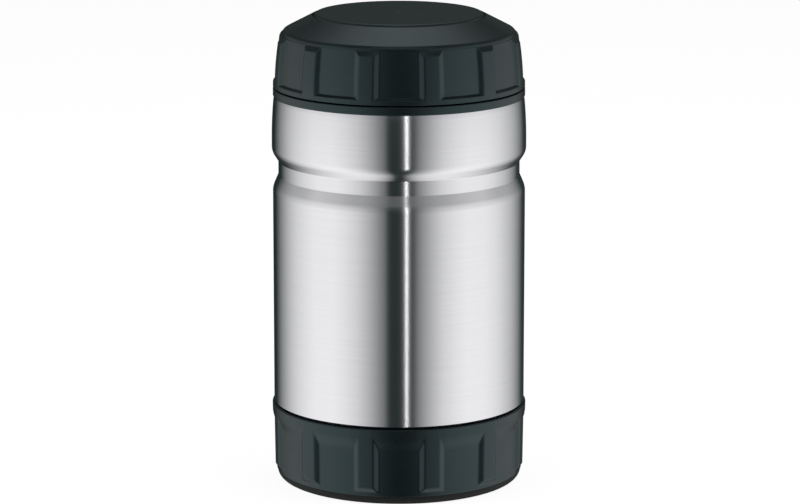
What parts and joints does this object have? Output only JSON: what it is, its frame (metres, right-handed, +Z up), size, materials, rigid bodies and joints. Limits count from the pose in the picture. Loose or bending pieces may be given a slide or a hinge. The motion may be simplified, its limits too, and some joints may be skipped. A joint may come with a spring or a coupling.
{
  "type": "insulated food jar",
  "caption": "Double-walled steel food jar with a waist groove, a ribbed plastic base and a ribbed screw lid over an insulated screw stopper with a pressure release valve.",
  "frame": {"origin": "middle of the ring face that the jar stands on", "axes": "+Z up along the jar's axis; the body, the lid and the base are round about it"},
  "size_m": [0.1014, 0.1014, 0.1874],
  "materials": {
    "brushed_steel": "satin",
    "plain_steel": "satin",
    "dark_plastic": "satin",
    "stopper_plastic": "satin",
    "liner_plastic": "gloss",
    "button_plastic": "satin",
    "foot_rubber": "matte",
    "silicone": "satin",
    "foam": "matte",
    "foil": "polished",
    "getter_metal": "matte",
    "resin": "satin",
    "spring_steel": "polished"
  },
  "bodies": {
    "jar": {"outer_shell": "brushed_steel", "outer_bottom": "plain_steel", "inner_vessel": "plain_steel", "inner_bottom": "plain_steel", "reflector_foil": "foil", "getter": "getter_metal", "vacuum_seal": "resin", "collar": "dark_plastic", "collar_seal": "silicone", "base_shell": "dark_plastic", "foot_ring": "foot_rubber"},
    "stopper_carrier": {"stopper_foam": "foam"},
    "stopper": {"stopper_body": "stopper_plastic", "stopper_cap": "stopper_plastic", "stopper_gasket": "silicone", "valve_spring": "spring_steel"},
    "lid_carrier": {"lid_foam": "foam"},
    "lid": {"lid_shell": "dark_plastic", "lid_disc": "dark_plastic", "lid_liner": "liner_plastic"},
    "valve": {"valve_button": "button_plastic", "valve_stem": "plain_steel", "valve_seal": "silicone"}
  },
  "joints": [
    {"name": "stopper_lift", "type": "slide", "parent": "jar", "child": "stopper_carrier", "axis": [0, 0, 1], "range_m": [0, 0.0481]},
    {"name": "stopper_turn", "type": "hinge", "parent": "stopper_carrier", "child": "stopper", "pos_m": [0, 0, 0.143], "axis": [0, 0, 1], "range_deg": [0, 1080]},
    {"name": "lid_lift", "type": "slide", "parent": "stopper", "child": "lid_carrier", "axis": [0, 0, 1], "range_m": [0, 0.0321]},
    {"name": "lid_turn", "type": "hinge", "parent": "lid_carrier", "child": "lid", "pos_m": [0, 0, 0.1585], "axis": [0, 0, 1], "range_deg": [0, 720]},
    {"name": "valve_press", "type": "slide", "parent": "stopper", "child": "valve", "axis": [0, 0, -1], "range_m": [0, 0.0025], "stiffness_N_per_m": 400, "springref_m": -0.005, "deforming": ["valve_spring"]}
  ],
  "couplings": [
    {"joint": "stopper_lift", "follows": "stopper_turn", "m_per_rad": 0.0025465},
    {"joint": "lid_lift", "follows": "lid_turn", "m_per_rad": 0.0025465}
  ]
}
